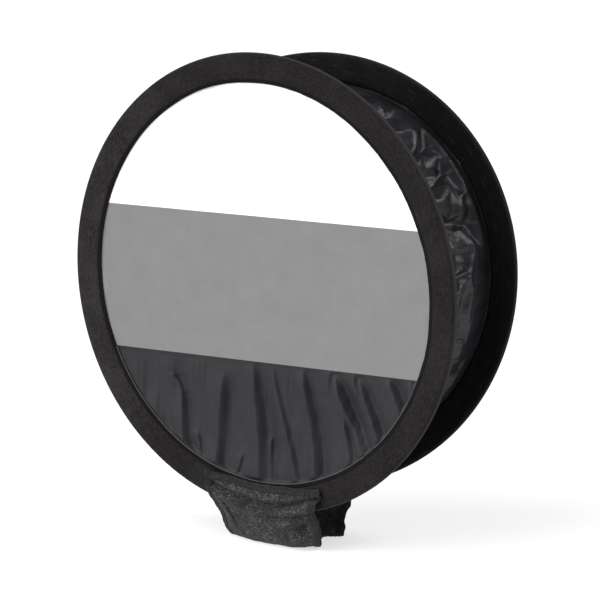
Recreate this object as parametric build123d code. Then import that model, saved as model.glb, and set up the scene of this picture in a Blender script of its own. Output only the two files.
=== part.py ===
from build123d import *
import os
from math import cos, radians, sin, sqrt

# Collapsible exposure target: two sprung rims with a nylon tunnel between them, a white, grey and
# black front, a black back, and a fabric sling underneath on which the drum stands.
# Millimetres. +Z is up, the front faces -Y, and the origin is on the floor below the drum's middle.

# Rims
RIM_RADIUS = 190.0            # mean outer radius of both rims
OUT_OF_ROUND = 5.1            # how far the taut cloth pulls each hoop out of round, each way
FRONT_LEAN = 111.7            # long axis of the front rim, degrees from +X towards +Z
REAR_LEAN = 32.5              # long axis of the rear rim
RIM_WIDTH = 25.0              # flat width of the binding
RIM_THICKNESS = 7.0           # binding over the hoop, front to back
PLY = 0.8                     # thickness of one layer of binding
RIM_SPACING = 93.0            # middle of the front rim to middle of the rear rim
CENTRE_HEIGHT = 224.0         # centre of the rims above the floor

# Spring-steel hoops, inside the bindings
HOOP_INSET = 1.6              # outer face of the hoop inside the rim's outer edge
HOOP_RADIAL = 0.9
HOOP_WIDTH = 4.2              # front to back
HOOP_END_GAP = 1.0            # between the hoop's two ends, inside the ferrule
FERRULE_LENGTH = 24.0
FERRULE_WALL = 0.45
FERRULE_CLEARANCE = 0.05

# Front and rear cloth
CLOTH = 0.8                   # thickness of a panel
PANEL_INSET = 18.0            # the panels' cut edge, 7 mm inside the binding
WHITE_GREY_HEIGHT = 57.0      # seam heights from the centre of the rims
GREY_BLACK_HEIGHT = -66.0
TAPE_WIDTH = 10.0
TAPE_THICKNESS = 0.6
PIPING = 1.3                  # square section of the cord that edges the black trap

# Tunnel
TUNNEL_GAP = 0.6              # tunnel's outer face inside the binding's inner edge
TUNNEL_OUTLINE_POINTS = 24
JOIN_TAPE_WIDTH = 12.0

# Sling
SLING_LEFT = -51.0
SLING_FRONT_RIGHT = 61.0
SLING_REAR_RIGHT = 39.0
FLAP = 1.2                    # thickness of a flap
BASE = 2.0                    # thickness of the base, which lies on the floor
HEM_WIDTH = 6.0
HEM_THICKNESS = 0.8
BARTACK_LENGTH = 8.0
BARTACK_WIDTH = 1.8
BARTACK_HEIGHT = 0.5
FAR = 400.0                   # larger than the object, for cutting

RIM_CENTRE_Y = RIM_SPACING / 2
CHANNEL = RIM_THICKNESS - 2 * PLY
FLAP_Y = RIM_CENTRE_Y + RIM_THICKNESS / 2 + FLAP / 2
HEM_Y = FLAP_Y + FLAP / 2 + HEM_THICKNESS / 2
BARTACK_Y = HEM_Y + HEM_THICKNESS / 2 + BARTACK_HEIGHT / 2

LEAN = {"front": FRONT_LEAN, "rear": REAR_LEAN}
SIDE = {"front": -1, "rear": 1}
SLING_RIGHT = {"front": SLING_FRONT_RIGHT, "rear": SLING_REAR_RIGHT}


def upright(y):
    """A plane facing the front, with its origin on the rims' axis."""
    return Plane(origin=(0, y, CENTRE_HEIGHT), x_dir=(1, 0, 0), z_dir=(0, -1, 0))


def oval(end, inset):
    """The rim's outline, moved inwards by inset."""
    long_radius = RIM_RADIUS + OUT_OF_ROUND - inset
    short_radius = RIM_RADIUS - OUT_OF_ROUND - inset
    return Ellipse(long_radius, short_radius, rotation=LEAN[end])


def rectangle(left, right, low, high):
    """A rectangle by its edges, heights measured from the centre of the rims."""
    return Pos((left + right) / 2, (low + high) / 2) * Rectangle(right - left, high - low)


def plate(sketch, y, thickness):
    """A flat upright layer, centred on y."""
    return extrude(upright(y) * sketch, amount=thickness / 2, both=True)


def ring(end, outer_inset, inner_inset, y, thickness):
    return plate(oval(end, outer_inset) - oval(end, inner_inset), y, thickness)


def binding(end):
    """The sleeve: two plies and an outer wall, open inwards where the cloth is sewn in."""
    y = SIDE[end] * RIM_CENTRE_Y
    whole = ring(end, 0, RIM_WIDTH, y, RIM_THICKNESS)
    channel = ring(end, PLY, RIM_WIDTH + 1, y, CHANNEL)
    return whole - channel


def hoop(end):
    """A flat spring band with its two ends meeting at the bottom."""
    y = SIDE[end] * RIM_CENTRE_Y
    band = ring(end, HOOP_INSET, HOOP_INSET + HOOP_RADIAL, y, HOOP_WIDTH)
    gap = rectangle(-HOOP_END_GAP / 2, HOOP_END_GAP / 2, -FAR, 0)
    return band - plate(gap, y, RIM_THICKNESS)


def ferrule(end):
    """The flat steel sleeve that joins the hoop's ends."""
    y = SIDE[end] * RIM_CENTRE_Y
    bore_outer = HOOP_INSET - FERRULE_CLEARANCE
    bore_inner = HOOP_INSET + HOOP_RADIAL + FERRULE_CLEARANCE
    bore_width = HOOP_WIDTH + 2 * FERRULE_CLEARANCE
    body = ring(end, bore_outer - FERRULE_WALL, bore_inner + FERRULE_WALL, y,
                bore_width + 2 * FERRULE_WALL)
    bore = ring(end, bore_outer, bore_inner, y, bore_width)
    length = rectangle(-FERRULE_LENGTH / 2, FERRULE_LENGTH / 2, -FAR, 0)
    return (body - bore) & plate(length, y, RIM_THICKNESS)


def front_panel(low, high):
    """The part of the front cloth between two heights."""
    band = rectangle(-FAR, FAR, low, high)
    return plate(oval("front", PANEL_INSET) & band, -RIM_CENTRE_Y, CLOTH)


def seam_tape(height):
    """A tape behind a seam of the front cloth, between the edges of the tunnel."""
    y = -RIM_CENTRE_Y + (CLOTH + TAPE_THICKNESS) / 2
    band = rectangle(-FAR, FAR, height - TAPE_WIDTH / 2, height + TAPE_WIDTH / 2)
    return plate(oval("front", RIM_WIDTH + TUNNEL_GAP + 2 * CLOTH) & band, y, TAPE_THICKNESS)


def edge_tape(end):
    """The tape round a panel's edge to which the tunnel is sewn, between the binding's plies."""
    y = SIDE[end] * (RIM_CENTRE_Y - (CLOTH + TAPE_THICKNESS) / 2)
    return ring(end, PANEL_INSET, RIM_WIDTH + TUNNEL_GAP + CLOTH, y, TAPE_THICKNESS)


def trap_piping():
    """The cord along the lower arc, in front of the black panel's edge."""
    y = -RIM_CENTRE_Y - (CLOTH + PIPING) / 2
    below = rectangle(-FAR, FAR, -FAR, GREY_BLACK_HEIGHT)
    return ring("front", RIM_WIDTH, RIM_WIDTH + PIPING, y, PIPING) & plate(below, y, PIPING)


def outline_point(end, inset, angle):
    """Where the rim's outline, moved inwards, crosses a ray from the centre."""
    a = RIM_RADIUS + OUT_OF_ROUND - inset
    b = RIM_RADIUS - OUT_OF_ROUND - inset
    turn = radians(angle - LEAN[end])
    radius = a * b / sqrt((b * cos(turn)) ** 2 + (a * sin(turn)) ** 2)
    return (radius * cos(radians(angle)), radius * sin(radians(angle)))


def tunnel_core(inset, reach):
    """A solid that runs from one rim's outline to the other's."""
    faces = []
    for end in ("front", "rear"):
        step = 360 / TUNNEL_OUTLINE_POINTS
        points = [outline_point(end, inset, step * i) for i in range(TUNNEL_OUTLINE_POINTS)]
        outline = make_face(Spline(*points, periodic=True))
        faces.append(upright(SIDE[end] * reach) * outline)
    return loft(faces)


def tunnel_reach():
    """From the middle to the edge tapes, where the tunnel ends."""
    return RIM_CENTRE_Y - CLOTH / 2 - TAPE_THICKNESS


def tunnel_wall():
    reach = tunnel_reach()
    inset = RIM_WIDTH + TUNNEL_GAP
    return tunnel_core(inset, reach) - tunnel_core(inset + CLOTH, reach)


def tunnel_join_tape():
    """A tape inside the tunnel, over the seam that closes it, at the bottom."""
    reach = tunnel_reach()
    inset = RIM_WIDTH + TUNNEL_GAP + CLOTH
    shell = tunnel_core(inset, reach) - tunnel_core(inset + TAPE_THICKNESS, reach)
    strip = rectangle(-JOIN_TAPE_WIDTH / 2, JOIN_TAPE_WIDTH / 2, -FAR, 0)
    end_clearance = 2 * TAPE_THICKNESS
    return shell & plate(strip, 0, 2 * (reach - end_clearance))


def flap(end):
    """The sling's flap: up the outside of the rim, its top edge on the rim's inner edge."""
    sheet = rectangle(SLING_LEFT, SLING_RIGHT[end], BASE - CENTRE_HEIGHT, 0)
    return plate(sheet - oval(end, RIM_WIDTH), SIDE[end] * FLAP_Y, FLAP)


def flap_top_hem(end):
    strip = oval(end, RIM_WIDTH - HEM_WIDTH) - oval(end, RIM_WIDTH)
    extent = rectangle(SLING_LEFT, SLING_RIGHT[end], -FAR, 0)
    return plate(strip & extent, SIDE[end] * HEM_Y, HEM_THICKNESS)


def flap_side_hem(end, left):
    strip = rectangle(left, left + HEM_WIDTH, BASE - CENTRE_HEIGHT, 0)
    return plate(strip - oval(end, RIM_WIDTH - HEM_WIDTH), SIDE[end] * HEM_Y, HEM_THICKNESS)


def flap_bartacks(end):
    """Two blocks of dense stitching that hold the top corners to the rim."""
    tacks = []
    for x in (SLING_LEFT + HEM_WIDTH / 2, SLING_RIGHT[end] - HEM_WIDTH / 2):
        edge = RIM_RADIUS - RIM_WIDTH + HEM_WIDTH / 2
        height = -sqrt(edge ** 2 - x ** 2)
        tack = Pos(x, height) * Rectangle(BARTACK_WIDTH, BARTACK_LENGTH)
        tacks.append(plate(tack, SIDE[end] * BARTACK_Y, BARTACK_HEIGHT))
    return Compound(children=tacks)


def sling_right_at(y):
    """The sling's right edge, which runs straight from the front flap to the rear flap."""
    share = (y + FLAP_Y) / (2 * FLAP_Y)
    return SLING_FRONT_RIGHT + share * (SLING_REAR_RIGHT - SLING_FRONT_RIGHT)


def floor_layer(corners, low, thickness):
    return extrude(Pos(0, 0, low) * make_face(Polyline(*corners, close=True)), amount=thickness)


def sling_base():
    front, rear = -FLAP_Y - FLAP / 2, FLAP_Y + FLAP / 2
    corners = [(SLING_LEFT, front), (sling_right_at(front), front),
               (sling_right_at(rear), rear), (SLING_LEFT, rear)]
    return floor_layer(corners, 0, BASE)


def base_hem(side):
    """A hem on the base's left or right edge, between the two flaps."""
    front, rear = -FLAP_Y + FLAP / 2, FLAP_Y - FLAP / 2
    if side == "left":
        edges = [SLING_LEFT, SLING_LEFT + HEM_WIDTH, SLING_LEFT + HEM_WIDTH, SLING_LEFT]
    else:
        near, far = sling_right_at(front), sling_right_at(rear)
        edges = [near - HEM_WIDTH, near, far, far - HEM_WIDTH]
    corners = list(zip(edges, (front, front, rear, rear)))
    return floor_layer(corners, BASE, HEM_THICKNESS)


def rim_nodes(end):
    return {
        f"{end}_hoop": hoop(end),
        f"{end}_hoop_ferrule": ferrule(end),
        f"{end}_rim_binding": binding(end),
        f"{end}_edge_tape": edge_tape(end),
    }


def cloth_nodes():
    return {
        "white_panel": front_panel(WHITE_GREY_HEIGHT, FAR),
        "grey_panel": front_panel(GREY_BLACK_HEIGHT, WHITE_GREY_HEIGHT),
        "black_trap_panel": front_panel(-FAR, GREY_BLACK_HEIGHT),
        "white_grey_seam_tape": seam_tape(WHITE_GREY_HEIGHT),
        "grey_black_seam_tape": seam_tape(GREY_BLACK_HEIGHT),
        "trap_piping": trap_piping(),
        "tunnel_wall": tunnel_wall(),
        "tunnel_join_tape": tunnel_join_tape(),
        "rear_panel": plate(oval("rear", PANEL_INSET), RIM_CENTRE_Y, CLOTH),
    }


def flap_nodes(end):
    return {
        f"sling_{end}_flap": flap(end),
        f"{end}_flap_top_hem": flap_top_hem(end),
        f"{end}_flap_left_hem": flap_side_hem(end, SLING_LEFT),
        f"{end}_flap_right_hem": flap_side_hem(end, SLING_RIGHT[end] - HEM_WIDTH),
        f"{end}_flap_bartacks": flap_bartacks(end),
    }


def base_nodes():
    return {
        "sling_base": sling_base(),
        "base_left_hem": base_hem("left"),
        "base_right_hem": base_hem("right"),
    }


nodes = {**rim_nodes("front"), **rim_nodes("rear"), **cloth_nodes(),
         **flap_nodes("front"), **flap_nodes("rear"), **base_nodes()}

os.makedirs("parts", exist_ok=True)
for name, shape in nodes.items():
    export_step(shape, f"parts/{name}.step")
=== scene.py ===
from math import atan2, cos, pi, radians, sin, sqrt

import bmesh
import bpy
import numpy as np
from mathutils import Matrix, Vector


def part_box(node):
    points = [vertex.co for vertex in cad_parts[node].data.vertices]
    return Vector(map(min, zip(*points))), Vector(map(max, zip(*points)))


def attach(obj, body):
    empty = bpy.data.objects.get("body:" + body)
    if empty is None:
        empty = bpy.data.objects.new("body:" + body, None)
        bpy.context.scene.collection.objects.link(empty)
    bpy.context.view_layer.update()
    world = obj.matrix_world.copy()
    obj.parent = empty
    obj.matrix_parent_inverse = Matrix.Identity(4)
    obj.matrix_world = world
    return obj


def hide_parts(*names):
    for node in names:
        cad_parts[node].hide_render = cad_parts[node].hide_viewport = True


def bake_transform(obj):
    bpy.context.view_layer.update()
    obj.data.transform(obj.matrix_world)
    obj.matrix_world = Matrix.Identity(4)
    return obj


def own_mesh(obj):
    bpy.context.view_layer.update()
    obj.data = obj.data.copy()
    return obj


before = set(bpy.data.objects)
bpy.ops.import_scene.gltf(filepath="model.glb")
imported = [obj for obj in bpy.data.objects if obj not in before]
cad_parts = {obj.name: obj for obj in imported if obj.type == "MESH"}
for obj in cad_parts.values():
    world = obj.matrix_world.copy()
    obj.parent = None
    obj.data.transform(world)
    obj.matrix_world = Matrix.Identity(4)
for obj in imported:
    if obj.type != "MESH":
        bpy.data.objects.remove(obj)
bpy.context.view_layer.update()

# ---- driving dimensions, in metres
MM = 0.001
RIM_RADIUS = 0.190  # mean outer radius of both rims
OUT_OF_ROUND = 0.0051  # how far each hoop is pulled out of round, each way
LEAN = {"front": radians(111.7), "rear": radians(32.5)}  # long axis, from +X towards +Z
SIDE = {"front": -1, "rear": 1}
BODY = {"front": "front_frame", "rear": "rear_frame"}
RIM_WIDTH = 0.025
WHITE_GREY_HEIGHT = 0.057  # seams, from the centre of the rims
GREY_BLACK_HEIGHT = -0.066
PANEL_INSET = 0.021  # the panels' hidden edge, between the binding's plies

front_low, front_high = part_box("front_rim_binding")
rear_low, rear_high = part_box("rear_rim_binding")
RIM_Y = {"front": (front_low.y + front_high.y) / 2, "rear": (rear_low.y + rear_high.y) / 2}
CENTRE_Z = (front_low.z + front_high.z) / 2
SPAN = RIM_Y["rear"] - RIM_Y["front"]
SEWN_ROUND = 2 * pi * (RIM_RADIUS - RIM_WIDTH)  # length of the panels' sewn edge


# ---- outlines
def radii(inset):
    return RIM_RADIUS + OUT_OF_ROUND - inset, RIM_RADIUS - OUT_OF_ROUND - inset


def outline_radius(end, inset, angle):
    """Distance from the rims' axis to the rim's outline, moved inwards by inset."""
    a, b = radii(inset)
    turn = angle - LEAN[end]
    return a * b / np.sqrt((b * np.cos(turn)) ** 2 + (a * np.sin(turn)) ** 2)


def conic(end, inset):
    """A, B, C of the outline A x^2 + B x z + C z^2 = 1, measured from the rims' axis."""
    a, b = radii(inset)
    c, s = cos(LEAN[end]), sin(LEAN[end])
    return (c / a) ** 2 + (s / b) ** 2, 2 * s * c * (a ** -2 - b ** -2), (s / a) ** 2 + (c / b) ** 2


def top_height(end, inset):
    a, b, c = conic(end, inset)
    return sqrt(4 * a / (4 * a * c - b * b))


def chord(end, inset, height):
    """Left and right ends of the outline's chord at a height above the axis."""
    a, b, c = conic(end, inset)
    root = np.sqrt(np.maximum((b * height) ** 2 - 4 * a * (c * height ** 2 - 1), 0))
    return (-b * height - root) / (2 * a), (-b * height + root) / (2 * a)


# ---- smooth helpers
def smooth(value, low, high):
    t = np.clip((value - low) / (high - low), 0, 1)
    return t * t * (3 - 2 * t)


def ripples(x, y, seed, length, count=24):
    """A smooth random height field, about -1 to 1, whose bumps are about length across."""
    random = np.random.default_rng(seed)
    total = np.zeros(np.broadcast(x, y).shape)
    for _ in range(count):
        way, phase = random.uniform(0, 2 * pi, 2)
        rate = 2 * pi / (length * random.uniform(0.7, 1.8))
        total += np.cos(rate * (x * cos(way) + y * sin(way)) + phase)
    return total * 1.4 / sqrt(count)


# ---- meshes
def add_object(name, data):
    thing = bpy.data.objects.new(name, data)
    bpy.context.scene.collection.objects.link(thing)
    return thing


def grid_mesh(name, points, along, across, wrap_rows=False, wrap_columns=False):
    """A quad mesh from rows of points, with the distances along and across the cloth as its UV map."""
    rows, columns = points.shape[:2]
    last_row = rows if wrap_rows else rows - 1
    last_column = columns if wrap_columns else columns - 1
    faces, uvs = [], []
    for i in range(last_row):
        for j in range(last_column):
            corners = ((i, j), (i, j + 1), (i + 1, j + 1), (i + 1, j))
            faces.append([(r % rows) * columns + (c % columns) for r, c in corners])
            uvs.extend((along[c], across[r]) for r, c in corners)
    mesh = bpy.data.meshes.new(name)
    mesh.from_pydata(points.reshape(-1, 3).tolist(), [], faces)
    layer = mesh.uv_layers.new(name="cloth")
    layer.data.foreach_set("uv", np.array(uvs, np.float32).ravel())
    mesh.shade_smooth()
    mesh.validate()
    return add_object(name, mesh)


def close_ends(thing):
    """Fills the open ends of a tube."""
    mesh = bmesh.new()
    mesh.from_mesh(thing.data)
    bmesh.ops.holes_fill(mesh, edges=[e for e in mesh.edges if e.is_boundary], sides=0)
    mesh.to_mesh(thing.data)
    mesh.free()


def steps(low, high, count):
    return np.linspace(low, high, count)


def turns(count):
    """Angles round a full turn."""
    return steps(0, 2 * pi, count + 1)[:-1]


def distances(path):
    """How far along a path each of its points lies."""
    return np.concatenate([[0], np.cumsum(np.linalg.norm(np.diff(path, axis=0), axis=-1))])


def unit(vectors):
    return vectors / np.linalg.norm(vectors, axis=-1)[..., None]


def round_axis(radius, angle, y):
    """Places at a radius and an angle round the rims' axis, at depth y."""
    return np.stack(np.broadcast_arrays(radius * np.cos(angle), y,
                                        CENTRE_Z + radius * np.sin(angle)), axis=-1)


def round_ripples(reach, angle, seed, length, count):
    """Ripples that close up round the rims' axis."""
    return ripples(reach * np.cos(angle), reach * np.sin(angle), seed, length, count)


def finish_piece(thing, body, material, slot, *nodes):
    """Gives a piece its look and its body; body None is for what spans both frames."""
    thing.data.materials.append(material)
    if body is None:
        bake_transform(thing)
    else:
        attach(thing, body)
    if nodes:
        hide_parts(*nodes)


# ---- materials
# Millimetres across the binding's cloth: its outer fold, and how far from there the painted
# highlight along the outer edge ends and the painted shade on the sewn lip begins.
BINDING_FOLD = 27.3
EDGE_HIGHLIGHT_LINE = (3.4, 1.6)
SHADED_LIP = (23.3, 23.9)
LIP_SHADE_TONE, EDGE_HIGHLIGHT_TONE = 0.12, 0.75


class Nodes:
    """A short way to write a node tree."""

    def __init__(self, name):
        self.material = bpy.data.materials.new(name)
        self.material.use_nodes = True
        self.tree = self.material.node_tree
        self.tree.nodes.clear()
        self.surface = self.add("ShaderNodeBsdfPrincipled")
        self.add("ShaderNodeOutputMaterial", {"Surface": self.surface.outputs[0]})

    def add(self, kind, inputs=(), **settings):
        """A new node; inputs gives its sockets values or other nodes' outputs."""
        node = self.tree.nodes.new(kind)
        for key, value in settings.items():
            setattr(node, key, value)
        for key, value in dict(inputs).items():
            self.join(value, node.inputs[key])
        return node

    def join(self, value, socket):
        if isinstance(value, (int, float, tuple)):
            socket.default_value = value
        else:
            self.tree.links.new(value, socket)

    def set(self, **values):
        for key, value in values.items():
            self.join(value, self.surface.inputs[key.replace("_", " ")])

    def scaled(self, vector, factors):
        node = self.add("ShaderNodeVectorMath", {0: vector, 1: factors}, operation="MULTIPLY")
        return node.outputs[0]

    def cloth_mm(self, stretch=(1, 1)):
        """The cloth's own coordinates in millimetres, scaled by stretch."""
        uv = self.add("ShaderNodeUVMap", uv_map="cloth")
        return self.scaled(uv.outputs[0], (1000 * stretch[0], 1000 * stretch[1], 1))

    def place_mm(self):
        return self.scaled(self.add("ShaderNodeTexCoord").outputs["Object"], (1000, 1000, 1000))

    def across_mm(self):
        """How far to the right of the drum's middle, in millimetres."""
        return self.add("ShaderNodeSeparateXYZ", {0: self.place_mm()}).outputs["X"]

    def from_fold(self):
        """Distance in millimetres from the binding's outer fold, across its cloth."""
        across = self.add("ShaderNodeSeparateXYZ", {0: self.cloth_mm()}).outputs["Y"]
        return self.math("ABSOLUTE", self.math("SUBTRACT", across, BINDING_FOLD), 0)

    def noise(self, where, size, detail=3.0, roughness=0.6):
        """Noise with blobs about size millimetres across, 0 to 1."""
        node = self.add("ShaderNodeTexNoise", {"Vector": where, "Scale": 1 / size,
                                               "Detail": detail, "Roughness": roughness})
        return node.outputs["Fac"]

    def ribs(self, where, period, direction, distortion=0.4):
        """Threads side by side, period millimetres apart, 0 to 1."""
        node = self.add("ShaderNodeTexWave", {"Vector": where, "Scale": 2 * pi / (20 * period),
                                              "Distortion": distortion, "Detail": 2,
                                              "Detail Scale": 1.5}, bands_direction=direction)
        return node.outputs["Fac"]

    def math(self, operation, a, b):
        return self.add("ShaderNodeMath", {0: a, 1: b}, operation=operation).outputs[0]

    def times(self, a, b):
        return self.math("MULTIPLY", a, b)

    def weighted(self, *pairs):
        """The sum of values times their weights."""
        total = self.times(*pairs[0])
        for value, weight in pairs[1:]:
            total = self.math("ADD", total, self.times(value, weight))
        return total

    def between(self, factor, low, high):
        """Maps 0 to 1 onto low to high, numbers or colours."""
        if isinstance(low, tuple):
            inputs = {0: factor, 6: (*low, 1), 7: (*high, 1)}
            return self.add("ShaderNodeMix", inputs, data_type="RGBA").outputs[2]
        return self.add("ShaderNodeMix", {0: factor, 2: low, 3: high}).outputs[0]

    def contrast(self, value, low, high):
        """0 at low and 1 at high, with a soft step between; low may be the larger."""
        node = self.add("ShaderNodeMapRange", {"Value": value, "From Min": low, "From Max": high},
                        interpolation_type="SMOOTHSTEP")
        return node.outputs["Result"]

    def bump(self, height, distance, strength=1.0, under=None):
        """A bump of distance millimetres, on top of another one."""
        inputs = {"Height": height, "Distance": distance * MM, "Strength": strength}
        if under is not None:
            inputs["Normal"] = under
        return self.add("ShaderNodeBump", inputs).outputs["Normal"]

    def done(self, colour, roughness, normal):
        self.set(Base_Color=colour, Roughness=roughness, Normal=normal)
        return self.material


def binding_material(name, dark, light, sideways_tone_and_shade, scuffed):
    """Charcoal elasticated knit: fine ribs across the band, faint streaks along it.

    The four numbers after the colours are the millimetres to the right of the middle where the tone
    starts and stops changing, and the tone's factor before and after; on the rear rim this change is
    painted shade, darker towards the right. scuffed is the scuffs' strength.
    """
    n = Nodes(name)
    cloth = n.cloth_mm()
    ribs = n.ribs(cloth, 1.1, "X", 0.8)
    rows = n.ribs(cloth, 0.8, "Y", 0.8)
    streaks = n.noise(n.cloth_mm((0.22, 1.0)), 1.2, 4)
    grain = n.noise(n.place_mm(), 1.1, 3)
    patches = n.noise(n.place_mm(), 30, 2)
    knit = n.times(ribs, rows)
    tone = n.weighted((n.contrast(streaks, 0.36, 0.70), 0.34), (n.contrast(grain, 0.35, 0.65), 0.28),
                      (n.contrast(patches, 0.35, 0.7), 0.18))
    # Tone that changes from left to right: painted shade on the rear rim, darker towards the right; on the
    # front rim the knit grows lighter towards the left.
    start, stop, before, after = sideways_tone_and_shade
    change = n.contrast(n.across_mm(), start, stop)
    scuffs = n.contrast(n.noise(n.cloth_mm((0.14, 1.0)), 2.4, 3), 0.56, 0.68)
    tone = n.weighted((tone, n.between(change, before, after)), (scuffs, scuffed))
    # Painted shade: the sewn lip at the binding's inner edge is darkened.
    lip = n.contrast(n.from_fold(), *SHADED_LIP)
    # Painted highlight: the binding's outer edge is lightened along a thin line.
    fold = n.contrast(n.from_fold(), *EDGE_HIGHLIGHT_LINE)
    tone = n.weighted((tone, n.between(lip, 1.0, LIP_SHADE_TONE)), (fold, EDGE_HIGHLIGHT_TONE))
    colour = n.between(tone, dark, light)
    normal = n.bump(streaks, 0.25, 0.5)
    normal = n.bump(knit, 0.25, 0.6, normal)
    n.set(Sheen_Weight=0.03, Sheen_Roughness=0.4, Specular_IOR_Level=0.06)
    return n.done(colour, 0.85, normal)


def panel_material(name, dark, light, roughness):
    """Coated cloth with a fine plain weave and a faint mottle."""
    n = Nodes(name)
    cloth = n.cloth_mm()
    weave = n.math("ADD", n.ribs(cloth, 0.7, "X"), n.ribs(cloth, 0.7, "Y"))
    mottle = n.noise(cloth, 18, 4)
    fine = n.noise(cloth, 1.2, 2)
    tone = n.weighted((mottle, 0.7), (fine, 0.3))
    colour = n.between(n.contrast(tone, 0.3, 0.7), dark, light)
    normal = n.bump(weave, 0.06, 0.5, n.bump(mottle, 0.4, 0.4))
    n.set(Specular_IOR_Level=0.3)
    return n.done(colour, roughness, normal)


def nylon_material(name, dark, light, roughness, crumple, gloss):
    """Thin black nylon taffeta: a tight weave, a soft gloss and fine creases."""
    n = Nodes(name)
    cloth = n.cloth_mm()
    weave = n.times(n.ribs(cloth, 0.55, "X"), n.ribs(cloth, 0.55, "Y"))
    waves = n.noise(n.cloth_mm((1.0, 0.6)), 9, 4, 0.5)
    creases = n.math("ABSOLUTE", n.math("SUBTRACT", n.noise(cloth, 14, 5, 0.55), 0.5), 0.0)
    wide = n.noise(cloth, 26, 3)
    colour = n.between(n.contrast(wide, 0.3, 0.7), dark, light)
    sheen = n.between(waves, roughness - 0.08, roughness + 0.10)
    normal = n.bump(creases, 3.0 * crumple, 0.6)
    normal = n.bump(waves, crumple, 0.5, normal)
    normal = n.bump(weave, 0.08, 0.5, normal)
    n.set(Specular_IOR_Level=gloss, Sheen_Weight=0.02)
    return n.done(colour, sheen, normal)


def loop_material():
    """Brushed loop fabric: dark grey pile with lighter specks."""
    n = Nodes("loop_pile")
    place = n.place_mm()
    pile = n.noise(place, 1.1, 2, 0.6)
    tufts = n.noise(place, 3.2, 3, 0.6)
    worn = n.noise(place, 15, 2)
    specks = n.contrast(n.weighted((pile, 0.75), (tufts, 0.25)), 0.46, 0.66)
    tone = n.times(specks, n.between(n.contrast(worn, 0.35, 0.65), 0.45, 1.4))
    colour = n.between(tone, (0.0178, 0.0178, 0.0184), (0.098, 0.098, 0.102))
    normal = n.bump(pile, 1.2, 0.8, n.bump(tufts, 0.8, 0.6))
    n.set(Sheen_Weight=0.05, Sheen_Roughness=0.5, Specular_IOR_Level=0.08)
    return n.done(colour, 0.92, normal)


def hem_material():
    """A turned hem of the same cloth, flatter and darker."""
    n = Nodes("hem_cloth")
    cloth = n.cloth_mm()
    twill = n.ribs(cloth, 0.9, "DIAGONAL", 0.6)
    fuzz = n.noise(n.place_mm(), 1.3, 3)
    colour = n.between(n.contrast(fuzz, 0.35, 0.75), (0.012, 0.012, 0.0125), (0.036, 0.036, 0.038))
    normal = n.bump(twill, 0.3, 0.5, n.bump(fuzz, 0.6, 0.6))
    n.set(Sheen_Weight=0.04, Specular_IOR_Level=0.12)
    return n.done(colour, 0.9, normal)


def tape_material():
    n = Nodes("woven_tape")
    place = n.place_mm()
    ribs = n.ribs(place, 1.0, "X")
    fuzz = n.noise(place, 1.5, 2)
    colour = n.between(fuzz, (0.010, 0.010, 0.010), (0.026, 0.026, 0.026))
    return n.done(colour, 0.85, n.bump(ribs, 0.2, 0.6, n.bump(fuzz, 0.3, 0.5)))


def thread_material(name, dark, light):
    """Twisted thread or cord."""
    n = Nodes(name)
    place = n.place_mm()
    twist = n.ribs(place, 0.6, "DIAGONAL", 0.5)
    fuzz = n.noise(place, 2.5, 2)
    colour = n.between(fuzz, dark, light)
    n.set(Specular_IOR_Level=0.2)
    return n.done(colour, 0.6, n.bump(twist, 0.15, 0.7))


def steel_material():
    n = Nodes("spring_steel")
    place = n.place_mm()
    brushing = n.noise(place, 0.5, 4)
    stain = n.noise(place, 14, 3)
    colour = n.between(stain, (0.32, 0.32, 0.33), (0.50, 0.50, 0.52))
    n.set(Metallic=1.0)
    return n.done(colour, n.between(brushing, 0.25, 0.45), n.bump(brushing, 0.05, 0.5))


def floor_material():
    n = Nodes("studio_floor")
    place = n.place_mm()
    tone = n.noise(place, 900, 2)
    colour = n.between(tone, (0.49, 0.49, 0.49), (0.51, 0.51, 0.51))
    n.set(Emission_Color=(1, 1, 1, 1), Emission_Strength=0.60, Specular_IOR_Level=0.0)
    return n.done(colour, 0.9, n.bump(tone, 0.1, 0.1))


BINDING = {
    # The front rim's knit grows lighter towards the left.
    "front": binding_material("front_binding_knit", (0.0058, 0.0049, 0.0051),
                              (0.0300, 0.0265, 0.0273), (-75, -160, 1.0, 1.95), 0.12),
    # The rear rim's knit is a darker copy of the front's, which is painted shade, and it grows darker
    # towards the right, which is more painted shade.
    "rear": binding_material("rear_binding_knit_shaded", (0.0026, 0.0022, 0.0023),
                             (0.0175, 0.0155, 0.0160), (-20, 160, 1.35, 0.30), 0.45),
}
WHITE = panel_material("white_cloth", (0.84, 0.84, 0.83), (0.90, 0.90, 0.89), 0.75)
GREY = panel_material("grey_cloth", (0.168, 0.169, 0.171), (0.186, 0.187, 0.189), 0.8)
TRAP = nylon_material("trap_nylon", (0.0136, 0.0140, 0.0166), (0.0168, 0.0172, 0.0204),
                      0.55, 0.2, 0.25)
NYLON = nylon_material("tunnel_nylon", (0.0040, 0.0035, 0.0052), (0.0120, 0.0106, 0.0150),
                       0.32, 0.9, 0.31)
BACK = nylon_material("back_nylon", (0.012, 0.012, 0.013), (0.017, 0.017, 0.019),
                      0.50, 0.3, 0.35)
LOOP = loop_material()
HEM = hem_material()
TAPE = tape_material()
THREAD = thread_material("black_thread", (0.008, 0.008, 0.008), (0.018, 0.018, 0.018))
PIPING = thread_material("grey_piping", (0.045, 0.045, 0.048), (0.080, 0.080, 0.084))
STEEL = steel_material()


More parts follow.
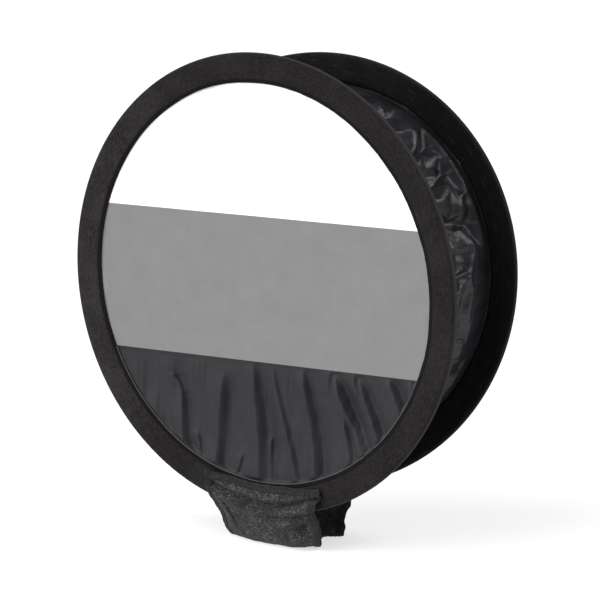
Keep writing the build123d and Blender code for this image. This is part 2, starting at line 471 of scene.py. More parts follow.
# ---- camera, light and floor
VIEW_FROM = (31.2, 9.4, 0.5)  # the camera's azimuth, elevation and roll, in degrees
VIEW_DISTANCE = 2.840  # metres from the middle of the front rim
VIEW_RIGHT, VIEW_DOWN = 0.0324, 0.0130
FOCAL_LENGTH, SENSOR_WIDTH = 204, 36
FILL_LIGHT = 0.30  # strength of the white surroundings
KEY_STRENGTH, KEY_WIDTH, KEY_TOWARDS = 3.7, radians(60), (0.42, 0.70, -0.56)
SIDE_STRENGTH, SIDE_SIZE = 15, 0.8
SIDE_PLACE, SIDE_TOWARDS = (1.15, 0.48, 1.35), (-0.68, -0.28, -0.68)
FLOOR_SIZE = 120


def camera_axes(azimuth, elevation, roll):
    """The camera's right, up and backward directions; azimuth 0 looks at the front."""
    a, e, r = radians(azimuth), radians(elevation), radians(roll)
    back = Vector((sin(a) * cos(e), -cos(a) * cos(e), sin(e)))
    level = Vector((cos(a), sin(a), 0))
    raised = back.cross(level)
    right = cos(r) * level + sin(r) * raised
    up = -sin(r) * level + cos(r) * raised
    return right, up, back


def make_camera():
    """A long lens, far from the front, to the right of it and a little above."""
    right, up, back = camera_axes(*VIEW_FROM)
    target = Vector((0, RIM_Y["front"], CENTRE_Z))
    place = target + back * VIEW_DISTANCE + right * VIEW_RIGHT - up * VIEW_DOWN
    data = bpy.data.cameras.new("camera")
    data.lens, data.sensor_width = FOCAL_LENGTH, SENSOR_WIDTH
    data.clip_start, data.clip_end = 0.05, 200
    camera = add_object("camera", data)
    camera.matrix_world = Matrix.Translation(place) @ Matrix((right, up, back)).transposed().to_4x4()
    bpy.context.scene.camera = camera


def make_light(name, kind, energy, towards, place=(0, 0, 0), **settings):
    data = bpy.data.lights.new(name, kind)
    data.energy = energy
    for key, value in settings.items():
        setattr(data, key, value)
    light = add_object(name, data)
    light.location = place
    light.rotation_mode = "QUATERNION"
    light.rotation_quaternion = Vector(towards).to_track_quat("-Z", "Y")


def make_studio():
    """White surroundings, two lights and the floor."""
    world = bpy.data.worlds.new("studio")
    world.use_nodes = True
    tree = world.node_tree
    background = tree.nodes["Background"]
    background.inputs["Color"].default_value = (1, 1, 1, 1)
    seen = tree.nodes.new("ShaderNodeLightPath")
    strength = tree.nodes.new("ShaderNodeMath")
    strength.operation = "MULTIPLY_ADD"  # white behind the floor, but only a soft fill
    strength.inputs[1].default_value = 1.0 - FILL_LIGHT
    strength.inputs[2].default_value = FILL_LIGHT
    tree.links.new(seen.outputs["Is Camera Ray"], strength.inputs[0])
    tree.links.new(strength.outputs[0], background.inputs["Strength"])
    bpy.context.scene.world = world
    make_light("key", "SUN", KEY_STRENGTH, KEY_TOWARDS, angle=KEY_WIDTH)
    make_light("side", "AREA", SIDE_STRENGTH, SIDE_TOWARDS, SIDE_PLACE, size=SIDE_SIZE)
    bpy.context.scene.view_settings.view_transform = "Standard"
    bpy.ops.mesh.primitive_plane_add(size=FLOOR_SIZE)
    floor = bpy.context.object
    floor.name = "studio_floor"
    floor.data.materials.append(floor_material())


make_camera()
make_studio()


# ---- rims
PLY = 0.0008  # thickness of one layer of the binding
EDGE_ROUND = 0.0034  # radius of the binding's outer edge, over the hoop
INNER_HALF = 0.0020  # half the binding's thickness where it is sewn
STITCH_LINE = 0.0213  # inset of the stitch line
GROOVE, GROOVE_WIDTH = 0.00030, 0.0006
BEVEL, BEVEL_START = 0.0008, 0.0219
PUCKER, SLOW_WAVE, SEAM_WAVE = 0.00016, 0.00022, 0.0002
RIM_COLUMNS = 540


def half_thickness(inset):
    """Half the binding's thickness, from its rounded outer edge to its sewn inner edge."""
    rounded = np.sqrt(np.maximum(EDGE_ROUND ** 2 - (EDGE_ROUND - inset) ** 2, 0))
    share = np.clip((inset - EDGE_ROUND) / (RIM_WIDTH - EDGE_ROUND), 0, 1)
    flat = INNER_HALF + (EDGE_ROUND - INNER_HALF) * (1 - share) ** 1.25
    groove = GROOVE * np.exp(-((inset - STITCH_LINE) / GROOVE_WIDTH) ** 2)
    bevel = BEVEL * smooth(inset, BEVEL_START, RIM_WIDTH)
    return np.where(inset < EDGE_ROUND, rounded, flat - groove - bevel)


def around_fold(inset, half):
    """From one face's inner edge round the fold to the other face's inner edge."""
    return np.concatenate([np.stack([inset, -half], 1)[::-1], np.stack([inset, half], 1)[1:]])


def binding_section():
    """The sleeve's section as (inset, offset from the rim's middle), a closed U."""
    turn = steps(0, pi / 2, 8)[:-1]
    edge = EDGE_ROUND * (1 - np.cos(turn))
    flat = np.concatenate([steps(EDGE_ROUND, 0.0205, 14), steps(0.0210, 0.0240, 11),
                           [0.0246, RIM_WIDTH]])
    outer = np.concatenate([edge, flat])
    outer_half = half_thickness(outer)
    inner = np.concatenate([[PLY, 0.0011, 0.0018, 0.0026], steps(EDGE_ROUND, RIM_WIDTH, 8)])
    inner_half = np.maximum(half_thickness(inner) - PLY, 0.0002)
    inner_half[0] = 0
    return np.concatenate([around_fold(outer, outer_half), around_fold(inner, -inner_half)])


def binding_offset(end, angle, inset, side):
    """Wrinkles of the binding: radial puckers that fade towards the hoop, and slow waves."""
    seed = 11 if end == "front" else 23
    reach = RIM_RADIUS - 0.35 * inset
    puckers = round_ripples(reach, angle, seed + side, 0.0075, 16)
    slow = round_ripples(reach, angle, seed + 5 + side, 0.045, 12)
    inward = smooth(inset, 0.004, 0.021)
    return PUCKER * puckers * inward + SLOW_WAVE * slow * smooth(inset, 0.001, 0.008)


def make_binding(end):
    section = binding_section()
    angle = turns(RIM_COLUMNS)
    inset = section[:, 0][:, None]
    offset = section[:, 1][:, None]
    wrinkle = np.where(offset < 0, -binding_offset(end, angle, inset, 0),
                       binding_offset(end, angle, inset, 1))
    waver = round_ripples(RIM_RADIUS, angle, 31, 0.09, 8)
    seam = SEAM_WAVE * waver * smooth(inset, 0.015, RIM_WIDTH)
    radius = outline_radius(end, inset, angle) + seam
    points = round_axis(radius, angle, RIM_Y[end] + offset + wrinkle)
    across = distances(section)
    across = np.append(across, across[-1] + PLY)
    along = steps(0, 2 * pi * RIM_RADIUS, RIM_COLUMNS + 1)
    rim = grid_mesh(f"{end}_rim_cloth", points, along, across, True, True)
    finish_piece(rim, BODY[end], BINDING[end], "binding", f"{end}_rim_binding")


# ---- front and rear cloth
PLY_GAP = 0.0007  # between the middles of two layers of cloth
EDGE_TAPE_OUTER, EDGE_TAPE_INNER = 0.0205, 0.0264
SEAM_TAPE_WIDTH = 0.010


def edge_distance(end, x, z):
    """How far a point lies inside the binding's sewn edge."""
    return outline_radius(end, RIM_WIDTH, np.arctan2(z, x)) - np.hypot(x, z)


def panel_y(end, x, z, behind=0.0):
    """The cloth's depth at a point, or behind it; x and z are measured from the rims' axis."""
    depth = front_depth(x, z) if end == "front" else back_depth(x, z)
    return RIM_Y[end] - SIDE[end] * (depth * smooth(edge_distance(end, x, z), 0, 0.004) + behind)


def make_field(name, node, material, slot, end, low, high, rows, columns, inset, behind=0.0,
               with_pieces=()):
    """A field of cloth or a tape behind it, between two heights."""
    height = steps(low, high, rows)[:, None]
    left, right = chord(end, inset, height)
    x = left + (right - left) * steps(0, 1, columns)[None, :]
    z = height + 0 * x
    points = np.stack([x, panel_y(end, x, z, behind), z + CENTRE_Z], axis=2)
    widths = x[:, -1] - x[:, 0]
    cloth = grid_mesh(name, points, steps(0, widths.max(), columns), steps(0, high - low, rows))
    finish_piece(cloth, BODY[end], material, slot, node)


def make_edge_tape(end):
    """The tape round the panel's edge, behind it, to which the tunnel is sewn."""
    angle = turns(360)[None, :]
    inset = steps(EDGE_TAPE_OUTER, EDGE_TAPE_INNER, 6)[:, None]
    radius = outline_radius(end, inset, angle)
    x, z = radius * np.cos(angle), radius * np.sin(angle)
    points = round_axis(radius, angle, panel_y(end, x, z, PLY_GAP))
    across = EDGE_TAPE_INNER - EDGE_TAPE_OUTER
    tape = grid_mesh(f"{end}_edge_tape_cloth", points, steps(0, SEWN_ROUND, 361), steps(0, across, 6),
                     wrap_columns=True)
    finish_piece(tape, BODY[end], TAPE, "tape", f"{end}_edge_tape")
    return tape


# The black trap's folds in millimetres: x and z of the top end and of the bottom end, the half
# widths there, and the depth.
TRAP_FOLDS = [
    (-87, -84, -79, -101, 1.6, 2.0, 2.6), (-80, -99, -72, -150, 2.0, 4.2, 6.0),
    (-64, -131, -58, -160, 1.0, 1.8, 2.0), (-36, -79, -41, -172, 3.6, 5.0, 8.6),
    (-19, -147, -25, -175, 1.0, 2.2, 2.4), (-5, -66, 4, -178, 2.6, 6.4, 8.0),
    (8, -128, 13, -176, 1.0, 3.6, 4.0), (12, -67, 40, -174, 2.0, 3.2, 3.8),
    (42, -66, 61, -172, 2.6, 5.8, 8.0), (68, -64, 68, -84, 2.0, 2.0, 2.6),
    (73, -70, 108, -144, 3.0, 6.8, 9.0), (82, -106, 92, -156, 1.2, 5.2, 5.6),
    (91, -64, 95, -83, 2.0, 2.0, 2.8), (97, -70, 124, -136, 3.0, 5.4, 7.6),
    (125, -66, 143, -112, 3.2, 5.6, 7.0), (145, -66, 151, -86, 2.2, 2.2, 2.2),
]
FOLD_REACH = 0.019  # how far to each side the cloth takes to come back
FOLD_DEPTH = 1.12  # factor on every fold's depth
TRAP_SAG, TRAP_WAVE, TRAP_CREASE = 0.0022, 0.0007, 0.00016
TRAP_BEHIND = 0.0008  # the trap is sewn behind the grey field
TAUT_WAVE = 0.0003
BACK_SAG, BACK_RAYS, BACK_WAVE = 0.0035, 0.0010, 0.0008
BACK_SAG_RADIUS = 0.17


def trap_depth(x, z):
    """Slack nylon: it sags back, and its folds step back to the right and ease forward again."""
    below = GREY_BLACK_HEIGHT - z
    back = TRAP_SAG * smooth(below, 0, 0.05) * smooth(edge_distance("front", x, z), 0, 0.03)
    back = back + TRAP_WAVE * ripples(x, 0.22 * z, 3, 0.017, 18) * smooth(below, 0, 0.02)
    back = back + TRAP_CREASE * ripples(x, 0.15 * z, 5, 0.0065, 20) * smooth(below, 0, 0.012)
    for x0, z0, x1, z1, wide_top, wide_bottom, depth in np.array(TRAP_FOLDS) * MM:
        share = (z0 - z) / (z0 - z1)
        line = x0 + (x1 - x0) * share + 0.0010 * np.sin(4 * np.clip(share, 0, 1) + x0 * 300)
        half = wide_top + (wide_bottom - wide_top) * np.clip(share, 0, 1)
        here = x - line
        step = smooth(here, -half, half) - smooth(here, -FOLD_REACH, FOLD_REACH)
        fade = smooth(share, -0.05, 0.2) * smooth(1.3 - share, 0, 0.3)
        back = back + FOLD_DEPTH * depth * step * fade
    return (back + TRAP_BEHIND) * smooth(below, 0, 0.004)


def front_depth(x, z):
    """How far the front cloth stands back, over its white, grey and black fields."""
    taut = TAUT_WAVE * ripples(x, z, 51, 0.09, 14) * smooth(z - GREY_BLACK_HEIGHT, 0, 0.02)
    return np.where(z > GREY_BLACK_HEIGHT, taut, trap_depth(x, z))


def back_depth(x, z):
    """The back hangs a little slack, with faint tension folds that run to the rim."""
    radius, angle = np.hypot(x, z), np.arctan2(z, x)
    sag = BACK_SAG * (1 - (radius / BACK_SAG_RADIUS) ** 2)
    reach = 0.12 + 0.25 * radius
    rays = round_ripples(reach, angle, 41, 0.021, 22)
    rays = rays * smooth(radius, 0.06, 0.15)
    return sag + BACK_RAYS * rays + BACK_WAVE * ripples(x, z, 43, 0.07, 14)


def make_cloth():
    """The front's three fields, the tapes behind their seams, and the back."""
    top = top_height("front", PANEL_INSET) - 1e-5
    make_field("white_field", "white_panel", WHITE, "white_cloth", "front",
               WHITE_GREY_HEIGHT, top, 60, 120, PANEL_INSET)
    make_field("grey_field", "grey_panel", GREY, "grey_cloth", "front",
               GREY_BLACK_HEIGHT, WHITE_GREY_HEIGHT, 60, 160, PANEL_INSET,
               with_pieces=[make_edge_tape("front")])
    make_field("black_trap", "black_trap_panel", TRAP, "black_nylon", "front",
               -top, GREY_BLACK_HEIGHT, 160, 480, PANEL_INSET)
    half = SEAM_TAPE_WIDTH / 2
    for name, height in (("white_grey", WHITE_GREY_HEIGHT), ("grey_black", GREY_BLACK_HEIGHT)):
        make_field(f"{name}_seam_tape_cloth", f"{name}_seam_tape", TAPE, "tape", "front",
                   height - half, height + half, 12, 300, EDGE_TAPE_INNER + PLY, PLY_GAP)
    back_top = top_height("rear", PANEL_INSET) - 1e-5
    make_field("rear_cloth", "rear_panel", BACK, "black_nylon", "rear",
               -back_top, back_top, 260, 260, PANEL_INSET, with_pieces=[make_edge_tape("rear")])


# ---- cords and stitches
def tube_mesh(name, path, radius, sides=8):
    """A round cord along a path of points, closed at its ends."""
    tangent = unit(np.gradient(path, axis=0))
    side = unit(np.cross(tangent, np.array([0.0, 1.0, 0.0])))
    up = np.cross(side, tangent)
    turn = turns(sides)
    taper = np.ones(len(path))
    taper[0] = taper[-1] = 0.02
    ring = np.cos(turn)[None, :, None] * side[:, None] + np.sin(turn)[None, :, None] * up[:, None]
    points = path[:, None] + radius * taper[:, None, None] * ring
    round_cord = steps(0, 2 * pi * radius, sides + 1)
    return grid_mesh(name, points, round_cord, distances(path), wrap_columns=True)


PIPING_RADIUS = 0.00055
RIM_STITCH_PITCH, RIM_STITCH_LENGTH, RIM_STITCH_RADIUS = 0.0036, 0.0024, 0.00020


def make_trap_piping():
    """The light cord along the trap's lower arc, just in front of the sewn edge."""
    inset = RIM_WIDTH + 0.0004
    left, right = chord("front", inset, GREY_BLACK_HEIGHT - 0.0005)
    start, stop = atan2(GREY_BLACK_HEIGHT, left), atan2(GREY_BLACK_HEIGHT, right)
    angle = steps(start, stop, 260)
    radius = outline_radius("front", inset, angle) + 0.00012 * ripples(angle, 0 * angle, 61, 0.3, 8)
    path = round_axis(radius, angle, RIM_Y["front"] - 0.0010)
    cord = tube_mesh("trap_piping_cord", path, PIPING_RADIUS)
    finish_piece(cord, BODY["front"], PIPING, "piping", "trap_piping")


# A stitch's rings: place along it and thickness, as shares of its length and radius.
STITCH_PROFILE = np.array([(-0.5, 0.25), (-0.3, 0.9), (0.3, 0.9), (0.5, 0.25)])
STITCH_BREADTH = 1.3  # a stitch is broader than high


def stitch_mesh(name, places, ways, normals, length, radius, sides=5):
    """A row of stitches: short rounded bars that lie on the cloth."""
    turn = turns(sides)[:, None]
    across = STITCH_BREADTH * np.cross(ways, normals)[:, None]
    out = across * np.cos(turn) + normals[:, None] * np.sin(turn)
    along, share = STITCH_PROFILE.T[..., None, None]
    middles = places[:, None, None] + ways[:, None, None] * along * length
    points = middles + out[:, None] * radius * share
    rings = len(STITCH_PROFILE)
    faces = []
    for first in range(0, len(places) * rings * sides, rings * sides):
        for r in range(rings - 1):
            for k in range(sides):
                a, b = first + r * sides + k, first + r * sides + (k + 1) % sides
                faces.append((a, b, b + sides, a + sides))
        faces.append(tuple(first + k for k in reversed(range(sides))))
        faces.append(tuple(first + (rings - 1) * sides + k for k in range(sides)))
    mesh = bpy.data.meshes.new(name)
    mesh.from_pydata(points.reshape(-1, 3).tolist(), [], faces)
    mesh.uv_layers.new(name="cloth")
    mesh.shade_smooth()
    return add_object(name, mesh)


def make_rim_stitches(end, face):
    """The seam round the binding's inner edge; face is -1 on its front and 1 on its back."""
    count = int(2 * pi * (RIM_RADIUS - STITCH_LINE) / RIM_STITCH_PITCH)
    angle = turns(count)
    radius = outline_radius(end, STITCH_LINE, angle)
    depth = float(half_thickness(np.array(STITCH_LINE))) + 0.00005
    places = round_axis(radius, angle, RIM_Y[end] + face * depth)
    ways = np.stack([-np.sin(angle), 0 * angle, np.cos(angle)], axis=1)
    normals = np.tile([0.0, face, 0.0], (count, 1))
    name = f"{end}_rim_stitches_" + ("front" if face < 0 else "back")
    row = stitch_mesh(name, places, ways, normals, RIM_STITCH_LENGTH, RIM_STITCH_RADIUS)
    finish_piece(row, BODY[end], THREAD, "thread")


# ---- tunnel
TUNNEL_COLUMNS = 420
TUNNEL_ROWS = 36
TUNNEL_INSET = RIM_WIDTH + 0.0006
TUNNEL_SLACK = 0.075  # how much larger the cloth is cut than the way it spans
TUNNEL_CREASES = 46
CREASE_LENGTH = 0.34  # a crease's reach each way, as a share of the span
TUNNEL_IN, TUNNEL_OUT = 0.016, 0.004  # how far it may leave its straight way
SIMULATION_FRAMES = 34
NYLON_CLOTH = dict(quality=6, mass=0.12, tension_stiffness=18, compression_stiffness=18,
                   shear_stiffness=10, bending_stiffness=0.05, tension_damping=12,
                   compression_damping=12, air_damping=6)


def tunnel_points():
    """The tunnel's straight way from rim to rim: angle, share of it, radius and depth."""
    angle = turns(TUNNEL_COLUMNS)[None, :]
    share = steps(0, 1, TUNNEL_ROWS)[:, None]
    front = outline_radius("front", TUNNEL_INSET, angle)
    rear = outline_radius("rear", TUNNEL_INSET, angle)
    radius = front + (rear - front) * smooth(share, 0.24, 0.76)  # follows each rim beside it
    y = RIM_Y["front"] + PLY_GAP + (SPAN - 2 * PLY_GAP) * share
    return angle, share, radius, y


def tunnel_creases(angle, share):
    """Slanting creases that the tunnel's slack cloth falls into, in metres inwards."""
    random = np.random.default_rng(76)
    depth = 0.0 * angle * share
    for number in range(TUNNEL_CREASES):
        at = 2 * pi * (number + random.uniform(-0.35, 0.35)) / TUNNEL_CREASES
        slant, width = random.uniform(-0.034, 0.034), random.uniform(0.003, 0.006)
        deep, middle = random.uniform(0.003, 0.0085), random.uniform(0.25, 0.75)
        offset = ((angle - at + pi) % (2 * pi) - pi) * RIM_RADIUS - slant * (share - middle)
        along = bell(share, middle, CREASE_LENGTH)
        depth = depth + deep * np.exp(-np.abs(offset) / width) * along
    return depth


def simulate(cloth, pinned, slack, frames):
    """Lets cut cloth, larger than its span by slack, settle between its sewn edges."""
    group = cloth.vertex_groups.new(name="sewn")
    group.add(pinned, 1.0, "REPLACE")
    sim = cloth.modifiers.new("cloth", "CLOTH")
    for key, value in NYLON_CLOTH.items():
        setattr(sim.settings, key, value)
    sim.settings.vertex_group_mass = "sewn"
    sim.settings.shrink_min = -slack
    sim.settings.effector_weights.gravity = 0.02  # stiff nylon hardly sags
    sim.collision_settings.use_collision = False
    sim.point_cache.frame_end = frames
    scene = bpy.context.scene
    for number in range(1, frames + 1):
        scene.frame_set(number)
    settled = cloth.evaluated_get(bpy.context.evaluated_depsgraph_get())
    places = np.zeros(len(cloth.data.vertices) * 3, np.float32)
    settled.data.vertices.foreach_get("co", places)
    cloth.modifiers.remove(sim)
    cloth.vertex_groups.remove(group)
    scene.frame_set(1)
    return places.reshape(-1, 3).astype(float)


def settle_tunnel(tunnel, share, radius, y):
    """Simulates the tunnel's cloth, then keeps it between the frames and clear of the rims."""
    last_row = (TUNNEL_ROWS - 1) * TUNNEL_COLUMNS
    pinned = list(range(TUNNEL_COLUMNS)) + list(range(last_row, last_row + TUNNEL_COLUMNS))
    places = simulate(tunnel, pinned, TUNNEL_SLACK, SIMULATION_FRAMES)
    places = places.reshape(TUNNEL_ROWS, TUNNEL_COLUMNS, 3)
    found = np.hypot(places[..., 0], places[..., 2] - CENTRE_Z)
    inwards = TUNNEL_IN * smooth(share, 0.02, 0.16) * smooth(1 - share, 0.08, 0.25)
    outwards = TUNNEL_OUT * smooth(share, 0.28, 0.42) * smooth(1 - share, 0.28, 0.42)
    kept = np.clip(found - radius, -inwards, outwards) + radius
    places[..., 0] *= kept / found
    places[..., 2] = CENTRE_Z + (places[..., 2] - CENTRE_Z) * kept / found
    places[..., 1] = np.clip(places[..., 1], y.min(), y.max())
    tunnel.data.vertices.foreach_set("co", places.astype(np.float32).ravel())
    return places


def make_tunnel():
    angle, share, radius, y = tunnel_points()
    middle = np.sin(pi * share)
    dip = 0.002 + 0.0012 * ripples(radius * np.cos(angle) + y, radius * np.sin(angle), 71, 0.03, 30)
    dip = dip + tunnel_creases(angle, share)
    flat = round_axis(radius - middle * dip, angle, y)
    tunnel = grid_mesh("tunnel_cloth", flat, steps(0, SEWN_ROUND, TUNNEL_COLUMNS + 1),
                       steps(0, SPAN, TUNNEL_ROWS), wrap_columns=True)
    flat = settle_tunnel(tunnel, share, radius, y)
    finer = tunnel.modifiers.new("finer", "SUBSURF")
    finer.levels = finer.render_levels = 1
    apply_modifiers(tunnel)
    finish_piece(tunnel, BODY["front"], NYLON, "black_nylon", "tunnel_wall")
    make_join_tape(flat)
    follow_collapse(tunnel)


def make_join_tape(places):
    """The tape inside the tunnel, over the seam that closes it, at the bottom."""
    middle = 3 * TUNNEL_COLUMNS // 4
    strip = places[3:-6, middle - 2:middle + 3].copy()
    toward = np.array([0, 0, CENTRE_Z]) - strip
    toward[..., 1] = 0
    strip += 1.5 * PLY_GAP * unit(toward)
    width = float(np.linalg.norm(strip[0, -1] - strip[0, 0]))
    length = float(distances(strip[:, 2])[-1])
    tape = grid_mesh("tunnel_join_tape_cloth", strip, steps(0, width, strip.shape[1]),
                     steps(0, length, strip.shape[0]))
    finish_piece(tape, BODY["front"], TAPE, "tape", "tunnel_join_tape")
    follow_collapse(tape)
    return tape


def apply_modifiers(thing):
    settled = thing.evaluated_get(bpy.context.evaluated_depsgraph_get())
    mesh = bpy.data.meshes.new_from_object(settled)
    thing.modifiers.clear()
    thing.data = mesh


def follow_collapse(thing):
    """Gives the piece its own copy of its mesh."""
    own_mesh(thing)


# ---- sling
CLOTH_HALF = 0.0006  # half the loop fabric's thickness
HEM_HALF = 0.00105  # and half a hem's
HEM_ROUND = 0.0255  # and the way round its folded section, inside and out
SLING_STITCH_PITCH = 0.0034
SLING_WIDTH = 0.112
SLING_FOLDS = 1.25  # factor on the folds of the loop fabric
# The sling's shape in millimetres: its left edge, three lines between and its right edge, each
# from the front rim's face down to the floor, back along it and up to the rear rim's face.
SLING_LINES = [
    [(-51, -52, 60), (-49, -52, 50), (-47, -51, 41), (-45, -36, 20), (-44.5, -30, 9), (-42, -24, 1),
     (-45, -9, 1), (-46, 8, 1), (-44, 21, 1), (-46, 33, 12), (-49, 48, 33), (-50, 52, 49), (-50, 52, 65)],
    [(-30, -52, 58.6), (-29, -53, 48), (-29, -52, 36), (-30, -42, 18), (-31, -34, 6), (-31, -27, 1),
     (-28, -10, 1), (-28, 8, 1), (-28, 23, 1), (-28, 35, 13), (-28, 48, 33), (-28, 52, 47), (-28, 52, 62)],
    [(0, -52, 54.4), (0, -53, 45), (0, -53, 32), (0, -49, 17), (0, -43, 6), (0, -36, 1),
     (0, -12, 1), (0, 7, 1), (0, 24, 1), (0, 36, 13), (0, 49, 31), (0, 52, 45), (0, 52, 60.5)],
    [(31, -52, 54.6), (31, -53, 45), (31, -53, 32), (30, -50, 17), (30, -44, 6), (29, -37, 1),
     (25, -15, 1), (20, 4, 1), (20, 21, 1), (19, 35, 13), (20, 48, 30), (21, 52, 45), (22, 52, 62.5)],
    [(62, -52, 56), (61.5, -52, 48.5), (56.5, -52, 37), (58.5, -48, 27), (58, -43, 17), (54, -38, 9),
     (45, -20, 2), (30, 9, 1.5), (42, 20, 1.5), (36, 33, 12), (34, 47, 24), (37, 52, 42),
     (39, 52, 67)],
]
SLING_SHARES = (0, 0.19, 0.45, 0.72, 1)
SLING_CELLS = (250, 112)  # down and across


def hermite(knots, values, at):
    """A smooth curve through values at knots, read at many places."""
    slopes = np.gradient(values, knots, axis=0)
    index = np.clip(np.searchsorted(knots, at) - 1, 0, len(knots) - 2)
    span = knots[index + 1] - knots[index]
    t = ((at - knots[index]) / span)[:, None, None]
    h = span[:, None, None]
    start, stop = values[index], values[index + 1]
    bend_in, bend_out = slopes[index] * h, slopes[index + 1] * h
    return ((2 * t ** 3 - 3 * t ** 2 + 1) * start + (t ** 3 - 2 * t ** 2 + t) * bend_in
            + (3 * t ** 2 - 2 * t ** 3) * stop + (t ** 3 - t ** 2) * bend_out)


def keep_off_rims(points):
    """Moves points out of the rims, so that cloth and hem lie on them."""
    gap = HEM_HALF + 0.0001
    x, y, z = points[..., 0], points[..., 1], points[..., 2] - CENTRE_Z
    radius, angle = np.hypot(x, z), np.arctan2(z, x)
    for end in ("front", "rear"):
        outline = outline_radius(end, 0.0, angle)
        inset = outline - radius
        face = half_thickness(np.clip(inset, EDGE_ROUND, RIM_WIDTH)) + gap
        offset = (y - RIM_Y[end]) * SIDE[end]
        over = (inset >= EDGE_ROUND) & (offset > -0.004)
        y = np.where(over & (offset < face), RIM_Y[end] + SIDE[end] * face, y)
        round_away = np.hypot(inset - EDGE_ROUND, offset)
        near = (inset < EDGE_ROUND) & (round_away < EDGE_ROUND + gap)
        grow = (EDGE_ROUND + gap) / np.maximum(round_away, 1e-6)
        y = np.where(near, RIM_Y[end] + SIDE[end] * offset * grow, y)
        radius = np.where(near, outline - EDGE_ROUND - (inset - EDGE_ROUND) * grow, radius)
    return round_axis(radius, angle, y)


def bell(value, middle, width):
    return np.exp(-((value - middle) / width) ** 2)


def sling_relief(across, down, length):
    """The folds of the loop fabric, in millimetres outwards, from places in millimetres."""
    swag = 14.5 - 0.0026 * (across - 60) ** 2
    folds = 2.2 * bell(down, swag - 4, 3.0) - 3.8 * bell(down, swag + 0.8, 2.2)
    folds += 3.4 * bell(down, swag + 7, 4.0)
    folds -= 2.6 * bell(down, 24 - 0.05 * (across - 64), 2.4) * bell(across, 80, 22)
    folds += 1.8 * bell(down, 30, 4) * bell(across, 76, 20)
    folds -= 4.0 * bell(across, 97, 7) * bell(down - 0.3 * (across - 97), 39, 5)
    folds += 1.8 * bell(across, 88, 5) * bell(down, 44, 9)
    folds -= 2.2 * bell(across - 0.55 * down, 4, 2.4) * smooth(down, 18, 26) * smooth(48 - down, 0, 8)
    corners = bell(across, 3, 12) + bell(across, 107, 12)
    gathers = 0.6 * np.cos(across * 1.35 + 0.12 * down) * bell(down, 7, 6) * corners
    waves = 0.35 * ripples(across, down, 81, 30, 16) + 0.14 * ripples(across, down, 82, 10, 24)
    hanging = smooth(down, 0, 8) * smooth(length - down, 0, 8)
    return (SLING_FOLDS * folds * smooth(60 - down, 0, 14) + waves) * hanging + gathers


class Sling:
    """The draped cloth: a grid of places and outward normals, down and across, in metres."""

    def __init__(self):
        lines = np.array(SLING_LINES, float) * MM
        hops = np.linalg.norm(np.diff(lines, axis=1), axis=2).mean(axis=0)
        knots = np.concatenate([[0], np.cumsum(hops)])
        self.length = knots[-1]
        self.width = SLING_WIDTH
        rows, columns = SLING_CELLS
        down = steps(0, self.length, rows)
        across = steps(0, 1, columns)
        drawn = hermite(knots, lines.transpose(1, 0, 2), down)
        drawn = hermite(np.array(SLING_SHARES, float), drawn.transpose(1, 0, 2), across)
        self.places = drawn.transpose(1, 0, 2)
        self.find_normals()
        across_mm, down_mm = np.meshgrid(across * self.width / MM, down / MM)
        relief = sling_relief(across_mm, down_mm, self.length / MM)
        self.places = self.places + self.normals * relief[..., None] * MM
        self.places = keep_off_rims(self.places)
        self.places[..., 2] = np.maximum(self.places[..., 2], HEM_HALF + 0.0005)
        self.find_normals()

    def find_normals(self):
        """Normals that point away from the drum."""
        down = np.gradient(self.places, axis=0)
        across = np.gradient(self.places, axis=1)
        self.normals = unit(np.cross(down, across))

    def edge_length(self, edge):
        """The true length of an edge of the draped cloth."""
        line = {"left": self.places[:, 0], "right": self.places[:, -1],
                "front": self.places[0], "rear": self.places[-1]}[edge]
        return float(distances(line)[-1])

    def from_edge(self, edge, along, inward):
        """Across and down for places a true distance in from an edge, even where it is gathered."""
        sideways, far = edge in ("left", "right"), edge in ("right", "rear")
        grid = self.places if sideways else self.places.transpose(1, 0, 2)
        run, reach = (self.length, self.width) if sideways else (self.width, self.length)
        cells = 8
        line, within = (grid[:, -1], grid[:, -1 - cells]) if far else (grid[:, 0], grid[:, cells])
        stretch = np.linalg.norm(within - line, axis=1) / (cells * reach / (grid.shape[1] - 1))
        stretch = np.interp(along, steps(0.0, run, len(grid)), np.clip(stretch, 0.25, 1.5))
        inset = reach - inward / stretch if far else inward / stretch
        return (inset, along) if sideways else (along, inset)

    def at(self, across, down, lift=0.0):
        """Places at distances across and down, and lifted off the cloth; past an edge it runs on."""
        rows, columns = SLING_CELLS
        i = np.asarray(down) / self.length * (rows - 1)
        j = np.asarray(across) / self.width * (columns - 1)
        i, j = np.broadcast_arrays(i, j)
        i0 = np.clip(np.floor(i), 0, rows - 2).astype(int)
        j0 = np.clip(np.floor(j), 0, columns - 2).astype(int)
        a, b = (i - i0)[..., None], (j - j0)[..., None]

        def mixed(grid):
            near = grid[i0, j0] * (1 - b) + grid[i0, j0 + 1] * b
            return near * (1 - a) + (grid[i0 + 1, j0] * (1 - b) + grid[i0 + 1, j0 + 1] * b) * a

        lift = np.broadcast_to(np.asarray(lift), i.shape)[..., None]
        return mixed(self.places) + mixed(self.normals) * lift


# A hem's section round the cloth's edge: distance in from the edge and height, in millimetres.
HEM_SECTION = np.array([
    (6.2, 0.62), (6.0, 0.85), (5.4, 0.80), (4.8, 1.00), (3.0, 1.05), (1.6, 1.00), (1.1, 0.82),
    (0.6, 1.00), (-0.2, 0.90), (-0.7, 0.45), (-0.8, 0), (-0.7, -0.45), (-0.2, -0.90),
    (0.6, -1.00), (4.8, -1.00), (6.0, -0.85), (6.2, -0.62), (5.9, -0.6), (0.4, -0.6), (0.0, 0),
    (0.4, 0.6), (5.9, 0.6)]) * MM


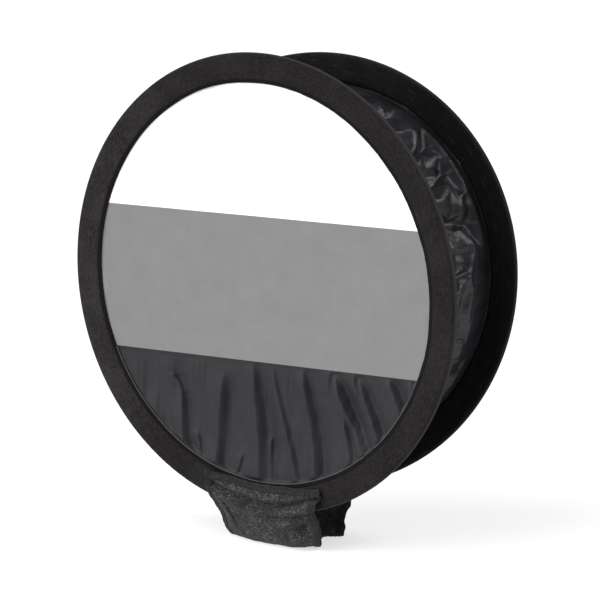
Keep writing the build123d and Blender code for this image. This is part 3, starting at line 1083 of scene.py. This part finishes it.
def make_hem(sling, name, edge, *nodes):
    """The turned hem along an edge of the sling: left, right, front or rear."""
    inward, height = HEM_SECTION[:, 0][None, :], HEM_SECTION[:, 1][None, :]
    run = sling.length if edge in ("left", "right") else sling.width
    count = 240 if edge in ("left", "right") else 110
    along = steps(0.0, run, count)[:, None]
    inward = inward + 0.0003 * ripples(along, 0 * inward, 91 + len(name), 0.012, 10)
    height = height * (1 + 0.12 * ripples(along, inward, 92 + len(name), 0.009, 12))
    places = sling.at(*sling.from_edge(edge, along, inward), height)
    section = np.append(distances(HEM_SECTION), HEM_ROUND)
    hem = grid_mesh(name, places, section, along[:, 0], wrap_columns=True)
    close_ends(hem)
    finish_piece(hem, None, HEM, "hem_webbing", *nodes)
    sling.edge_length(edge)


def make_sling():
    sling = Sling()
    rows, columns = SLING_CELLS
    cloth = grid_mesh("sling_cloth", sling.places, steps(0, sling.width, columns),
                      steps(0, sling.length, rows))
    solid = cloth.modifiers.new("thickness", "SOLIDIFY")
    solid.thickness, solid.offset = 2 * CLOTH_HALF, 0
    apply_modifiers(cloth)
    finish_piece(cloth, None, LOOP, "loop_fabric", "sling_front_flap", "sling_rear_flap", "sling_base")
    for side in ("left", "right"):
        make_hem(sling, f"sling_{side}_hem", side, f"front_flap_{side}_hem", f"base_{side}_hem",
                 f"rear_flap_{side}_hem")
    make_hem(sling, "sling_front_top_hem", "front", "front_flap_top_hem")
    make_hem(sling, "sling_rear_top_hem", "rear", "rear_flap_top_hem")
    make_sling_stitches(sling)
    make_bartacks(sling)


def stitch_row(sling, name, across, down, length=0.0024, radius=0.0003, lift=HEM_HALF):
    """Stitches at places on the sling, along the line through them."""
    places = sling.at(across, down, lift)
    ways = unit(np.gradient(places, axis=0))
    normals = unit(sling.at(across, down, lift + MM) - places)
    return stitch_mesh(name, places, ways, normals, length, radius)


def make_sling_stitches(sling):
    down = np.arange(0.004, sling.length - 0.004, SLING_STITCH_PITCH)
    across = np.arange(0.003, sling.width - 0.003, SLING_STITCH_PITCH)
    for number, inward in enumerate((0.0011, 0.0053)):
        for edge, along in (("left", down), ("right", down), ("front", across), ("rear", across)):
            name = f"sling_{edge}_stitches_{number + 1}"
            row = stitch_row(sling, name, *sling.from_edge(edge, along, inward))
            finish_piece(row, None, THREAD, "thread")


def make_bartacks(sling):
    """Dense stitching that holds the sling's four corners to the rims."""
    for end, near in (("front", 0.0), ("rear", sling.length)):
        for side, middle in (("left", 0.0032), ("right", sling.width - 0.0032)):
            inward = np.arange(0.0006, 0.0084, 0.0005)
            down = near + inward if end == "front" else near - inward
            bars = stitch_row(sling, f"{end}_{side}_bartack", middle + 0 * down, down,
                              0.0008, 0.00035, HEM_HALF + 0.0002)
            nodes = (f"{end}_flap_bartacks",) if side == "left" else ()
            finish_piece(bars, None, THREAD, "thread", *nodes)


for end in ("front", "rear"):
    make_binding(end)
    make_rim_stitches(end, -1)
    make_rim_stitches(end, 1)
make_cloth()
make_trap_piping()
make_tunnel()
make_sling()
for end in ("front", "rear"):
    for kind in ("hoop", "hoop_ferrule"):
        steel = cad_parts[f"{end}_{kind}"]
        steel.data.materials.clear()
        steel.data.materials.append(STEEL)
